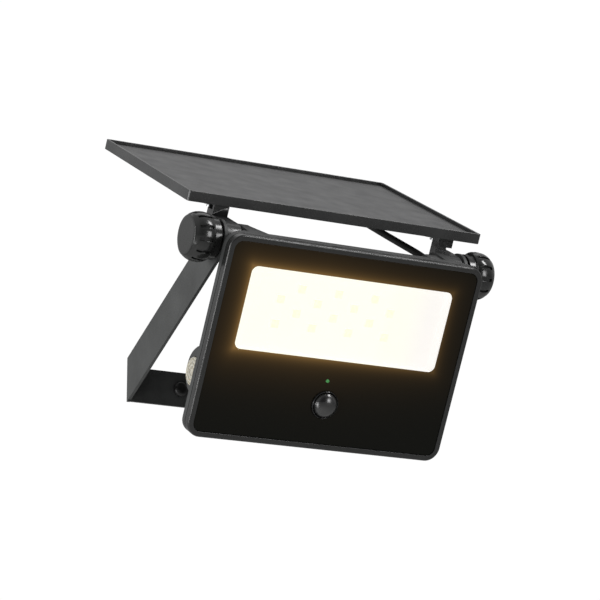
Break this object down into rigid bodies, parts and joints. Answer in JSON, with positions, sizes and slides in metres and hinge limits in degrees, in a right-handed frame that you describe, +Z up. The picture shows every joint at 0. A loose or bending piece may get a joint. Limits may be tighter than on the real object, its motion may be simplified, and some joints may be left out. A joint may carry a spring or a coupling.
{
  "type": "solar flood light",
  "caption": "Wall-mounted solar flood light: a tilting lamp housing with motion sensor and a tilting solar panel share one clamped pivot on a steel bracket.",
  "frame": {"origin": "middle of the wall side of the bracket's plate, 2.2 mm above the middle of the plate's height", "axes": "+Z up, +Y into the wall, -Y the way the lamp faces, +X to the right seen from the front"},
  "size_m": [0.2064, 0.1701, 0.2063],
  "materials": {
    "black_plastic": "fine moulded satin, black",
    "black_steel": "powder coated, satin black",
    "front_glass": "clear toughened glass with a gloss black printed border",
    "black_gloss": "gloss black, passes infra-red",
    "black_rubber": "matt black rubber",
    "white_plastic": "white reflector plastic",
    "translucent_silicone": "translucent milky silicone",
    "led": "yellow phosphor over a white package",
    "status_green": "clear green light pipe",
    "circuit_board": "green solder mask",
    "white_board": "white solder mask on aluminium",
    "zinc": "zinc plated",
    "brass": "turned brass",
    "cell_wrap": "shrink-wrapped blue film",
    "solar_cells": "satin laminate over dark grey cells"
  },
  "bodies": {
    "bracket": {"wall_bracket": "black_steel", "wall_screw_left": "black_steel", "wall_screw_right": "black_steel"},
    "housing": {"battery_cell_left": "cell_wrap", "battery_cell_right": "cell_wrap", "battery_contact_left": "zinc", "battery_contact_right": "zinc", "button_switch": "black_plastic", "cable_gland": "black_rubber", "control_board": "circuit_board", "cover_screw_1": "zinc", "cover_screw_2": "zinc", "cover_screw_3": "zinc", "cover_screw_4": "zinc", "front_bezel": "black_plastic", "front_glass": "front_glass", "glass_gasket": "black_rubber", "led_01": "led", "led_02": "led", "led_03": "led", "led_04": "led", "led_05": "led", "led_06": "led", "led_07": "led", "led_08": "led", "led_09": "led", "led_10": "led", "led_11": "led", "led_12": "led", "led_13": "led", "led_14": "led", "led_board": "white_board", "pir_lens": "black_gloss", "pir_ring": "black_plastic", "pir_sensor": "zinc", "pivot_bolt_left": "zinc", "pivot_bolt_right": "zinc", "rear_shell": "black_plastic", "reflector_tray": "white_plastic", "status_light": "status_green"},
    "panel": {"junction_box": "black_plastic", "leg_screw_left_1": "zinc", "leg_screw_left_2": "zinc", "leg_screw_right_1": "zinc", "leg_screw_right_2": "zinc", "panel_leg_left": "black_plastic", "panel_leg_right": "black_plastic", "panel_tray": "black_plastic", "solar_cable": "black_rubber", "solar_laminate": "solar_cells"},
    "knob_left": {"clamp_knob_left": "black_plastic", "knob_insert_left": "brass", "clamp_washer_left": "black_steel"},
    "knob_right": {"clamp_knob_right": "black_plastic", "knob_insert_right": "brass", "clamp_washer_right": "black_steel"},
    "mode_button": {"mode_button": "translucent_silicone"}
  },
  "joints": [
    {"name": "housing_tilt", "type": "hinge", "parent": "bracket", "child": "housing", "pos_m": [0, -0.122, 0.0615], "axis": [1, 0, 0], "range_deg": [-29, 20]},
    {"name": "panel_tilt", "type": "hinge", "parent": "housing", "child": "panel", "pos_m": [0, -0.122, 0.0615], "axis": [1, 0, 0], "range_deg": [-20, 50], "deforming": ["solar_cable"]},
    {"name": "knob_left_turn", "type": "hinge", "parent": "housing", "child": "knob_left", "pos_m": [-0.09, -0.122, 0.0615], "axis": [-1, 0, 0], "range_deg": [0, 270]},
    {"name": "knob_right_turn", "type": "hinge", "parent": "housing", "child": "knob_right", "pos_m": [0.09, -0.122, 0.0615], "axis": [1, 0, 0], "range_deg": [0, 270]},
    {"name": "mode_button_press", "type": "slide", "parent": "housing", "child": "mode_button", "axis": [1, 0, 0], "range_m": [0, 0.001], "stiffness_N_per_m": 450, "springref_m": -0.0005}
  ]
}
